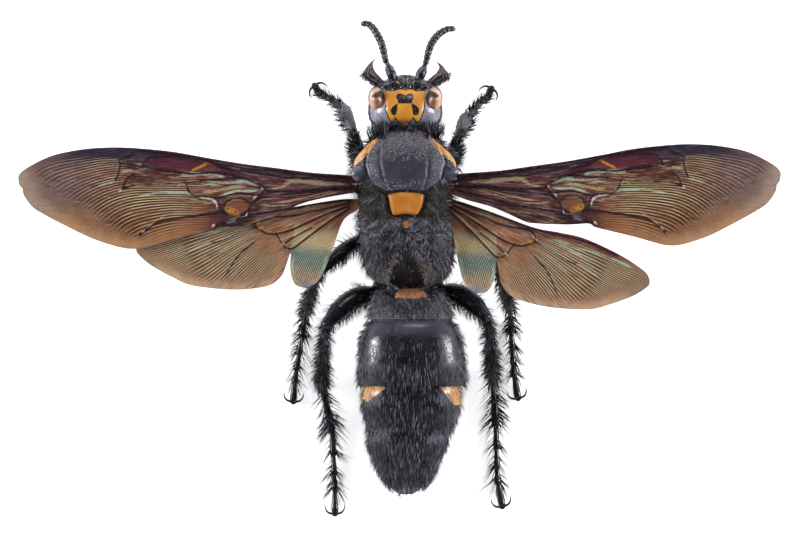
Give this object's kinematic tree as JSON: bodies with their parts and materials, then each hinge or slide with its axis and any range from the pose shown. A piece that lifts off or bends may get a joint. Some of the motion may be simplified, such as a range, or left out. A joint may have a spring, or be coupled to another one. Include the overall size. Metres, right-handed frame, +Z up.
{
  "type": "giant scoliid wasp",
  "caption": "Still life-size model of a giant scoliid wasp standing with its wings spread, black and hairy with an orange head plate and amber-brown translucent wings.",
  "frame": {"origin": "on the floor under the middle of the model's bounding box, between the thorax and the first ring of the abdomen", "axes": "+Z up; +Y from the tail to the head; +X to the wasp's right, along the spread wings"},
  "size_m": [0.1139, 0.0748, 0.0164],
  "materials": {
    "black_shell": "satin black with a grey-lilac sheen under dark hair",
    "orange_plate": "satin orange with dark marks",
    "yellow_band": "matte yellow-brown band",
    "eye": "smooth pinkish tan",
    "jaw": "grey-brown, ridged",
    "feeler": "dull black",
    "leg": "dark grey-brown, bristly",
    "wing": "translucent amber brown with a violet and green sheen",
    "wing_plate": "grey scale over the wing root"
  },
  "bodies": {
    "root": {"head": "orange_plate", "eye_left": "eye", "eye_right": "eye", "mandible_left": "jaw", "mandible_right": "jaw", "scape_left": "feeler", "scape_right": "feeler", "flagellum_left": "feeler", "flagellum_right": "feeler", "pronotum": "yellow_band", "mesothorax": "black_shell", "scutellum": "orange_plate", "metathorax": "black_shell", "propodeum": "black_shell", "tegula_left": "wing_plate", "tegula_right": "wing_plate", "forewing_left": "wing", "forewing_right": "wing", "hindwing_left": "wing", "hindwing_right": "wing", "abdomen_1": "black_shell", "abdomen_2": "black_shell", "abdomen_3": "black_shell", "abdomen_4": "black_shell", "abdomen_5": "black_shell", "abdomen_6": "black_shell", "coxa_fore_left": "leg", "femur_fore_left": "leg", "tibia_fore_left": "leg", "tarsus_fore_left": "leg", "coxa_fore_right": "leg", "femur_fore_right": "leg", "tibia_fore_right": "leg", "tarsus_fore_right": "leg", "coxa_mid_left": "leg", "femur_mid_left": "leg", "tibia_mid_left": "leg", "tarsus_mid_left": "leg", "coxa_mid_right": "leg", "femur_mid_right": "leg", "tibia_mid_right": "leg", "tarsus_mid_right": "leg", "coxa_hind_left": "leg", "femur_hind_left": "leg", "tibia_hind_left": "leg", "tarsus_hind_left": "leg", "coxa_hind_right": "leg", "femur_hind_right": "leg", "tibia_hind_right": "leg", "tarsus_hind_right": "leg"}
  },
  "joints": []
}
